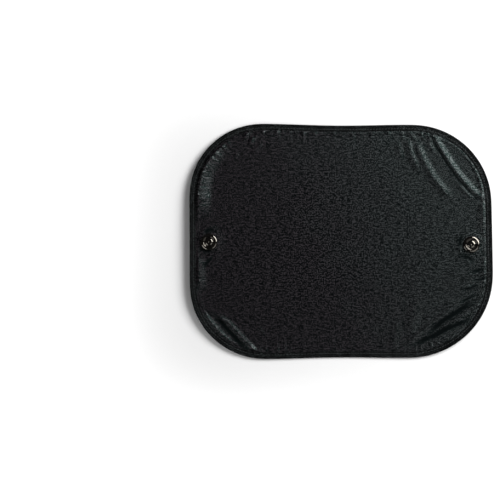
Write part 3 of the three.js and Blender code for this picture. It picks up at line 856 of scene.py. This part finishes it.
def cup_material():
    """Soft glossy plastic with a faint orange peel and a few dull smears."""
    shader = Shader("glossy_black_plastic")
    place = shader.place()
    peel = shader.noise(place, 2.5 * MM, 1.0)
    smear = shader.ramp(shader.noise(place, 9 * MM, 3.0, 0.6), 0.5, 0.75)
    return shader.finish(
        Base_Color=shader.blend(smear, grey(0.001), grey(0.003)),
        Roughness=0.07 + 0.09 * smear,
        Specular_IOR_Level=0.9,
        Specular_Tint=grey(1.0, CREAM),
        Coat_Weight=0.7,
        Coat_IOR=1.6,
        Coat_Roughness=0.05,
        Normal=shader.bump(peel, 0.05 * MM, 0.25),
    )


def eyelet_material():
    """Dull plastic with a fine grain."""
    shader = Shader("matt_black_plastic")
    grain = shader.noise(shader.place(), 0.6 * MM, 2.0)
    return shader.finish(
        Base_Color=shader.blend(grain, grey(0.006), grey(0.012)),
        Roughness=0.5 + 0.15 * grain,
        Normal=shader.bump(grain, 0.05 * MM, 0.4),
    )


def steel_material():
    """Drawn wire with faint scratches."""
    shader = Shader("drawn_spring_steel")
    place = shader.place()
    scratch = shader.noise(place, 1.2 * MM, 4.0, 0.7)
    return shader.finish(
        Base_Color=shader.blend(scratch, grey(0.32), grey(0.55)),
        Metallic=1.0,
        Roughness=0.28 + 0.2 * scratch,
        Normal=shader.bump(scratch, 0.03 * MM, 0.4),
    )


def give(piece, material):
    piece.data.materials.clear()
    piece.data.materials.append(material)


def add_floor():
    """A white floor that keeps the shade's shadow."""
    place = (0, 0, cad_box[0][2] - FLOOR_DROP)
    bpy.ops.mesh.primitive_plane_add(size=FLOOR_SIZE, location=place)
    floor = bpy.context.object
    floor.name = "floor"
    shader = Shader("pale_floor")
    x, y, _ = shader.split(shader.place())
    across = x * x * (1 / cad_box[1][0] ** 2)
    up = y * y * (1 / cad_box[1][1] ** 2)
    beyond = shader.ramp(across * across + up * up, 1.0, FLOOR_WHITE_FROM**4)
    seen = shader.node("ShaderNodeLightPath", output="Is Camera Ray")
    give(floor, shader.finish(
        Base_Color=grey(FLOOR_LEVEL),
        Roughness=0.9,
        Specular_IOR_Level=0.0,
        Emission_Color=shader.blend(beyond * seen, grey(0.0), grey(1.0)),
        Emission_Strength=FLOOR_GLOW,
    ))


def add_world():
    """Weak soft light from all round, which the camera sees as white."""
    world = bpy.data.worlds.new("studio")
    bpy.context.scene.world = world
    world.use_nodes = True
    tree = world.node_tree
    tree.nodes.clear()
    rays = tree.nodes.new("ShaderNodeLightPath")
    white = tree.nodes.new("ShaderNodeBackground")
    soft = tree.nodes.new("ShaderNodeBackground")
    mix = tree.nodes.new("ShaderNodeMixShader")
    out = tree.nodes.new("ShaderNodeOutputWorld")
    white.inputs["Strength"].default_value = 1
    soft.inputs["Strength"].default_value = WORLD_LEVEL
    tree.links.new(rays.outputs["Is Camera Ray"], mix.inputs[0])
    tree.links.new(soft.outputs[0], mix.inputs[1])
    tree.links.new(white.outputs[0], mix.inputs[2])
    tree.links.new(mix.outputs[0], out.inputs["Surface"])


def add_lamps():
    """Rectangular softboxes that aim at the middle of the shade."""
    for name, (place, size, power) in SOFTBOXES.items():
        lamp = bpy.data.lights.new(name, "AREA")
        lamp.shape = "RECTANGLE"
        lamp.size, lamp.size_y = size
        lamp.energy = power
        holder = bpy.data.objects.new(name, lamp)
        bpy.context.scene.collection.objects.link(holder)
        holder.location = place
        holder.rotation_euler = (-Vector(place)).to_track_quat("-Z", "Y").to_euler()


def add_camera():
    """A camera that looks straight down. The view's width is measured halfway up the shade."""
    camera = bpy.data.cameras.new("camera")
    holder = bpy.data.objects.new("camera", camera)
    bpy.context.scene.collection.objects.link(holder)
    holder.location = (CAMERA_X, CAMERA_Y, CAMERA_HEIGHT)
    middle = (cad_box[0][2] + cad_box[1][2]) / 2
    camera.sensor_fit = "HORIZONTAL"
    camera.angle = 2 * math.atan(VIEW_WIDTH / 2 / (CAMERA_HEIGHT - middle))
    bpy.context.scene.camera = holder


def dress():
    """Each piece with its material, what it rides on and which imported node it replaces."""
    cloth = make_cloth()
    give(cloth, cloth_material())
    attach(cloth, "root")
    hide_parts("mesh_cloth")

    binding = make_binding()
    give(binding, twill_material())
    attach(binding, "root")
    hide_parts("edge_binding")

    thread = thread_material()
    for name, side in (("front", 1), ("back", -1)):
        row = make_stitches(f"{name}_stitches", side)
        give(row, thread)
        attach(row, "root")
        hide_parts(f"{name}_seam_thread")

    plastic = cup_material()
    for side in CUPS:
        cup = make_cup(side)
        give(cup, plastic)
        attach(cup, "root")
        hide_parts(f"{side}_suction_cup")

    eyelet = eyelet_material()
    for side in CUPS:
        give(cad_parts[f"{side}_eyelet"], eyelet)
    steel = steel_material()
    for name in ("hoop_wire", "wire_sleeve"):
        give(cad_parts[name], steel)

    # The panel's flat size is that of the hoop's outline, drawn in to the cloth's edge.
    edge = HOOP + HOOP_IN * (CLOTH_EDGE - NOSE)
    after = np.roll(edge, -1, axis=0)
    cut = abs(np.sum(edge[:, 0] * after[:, 1] - after[:, 0] * edge[:, 1])) / 2
    length, width = edge.max(axis=0) - edge.min(axis=0)


dress()
add_floor()
add_world()
add_lamps()
add_camera()
bpy.context.scene.view_settings.view_transform = "Standard"
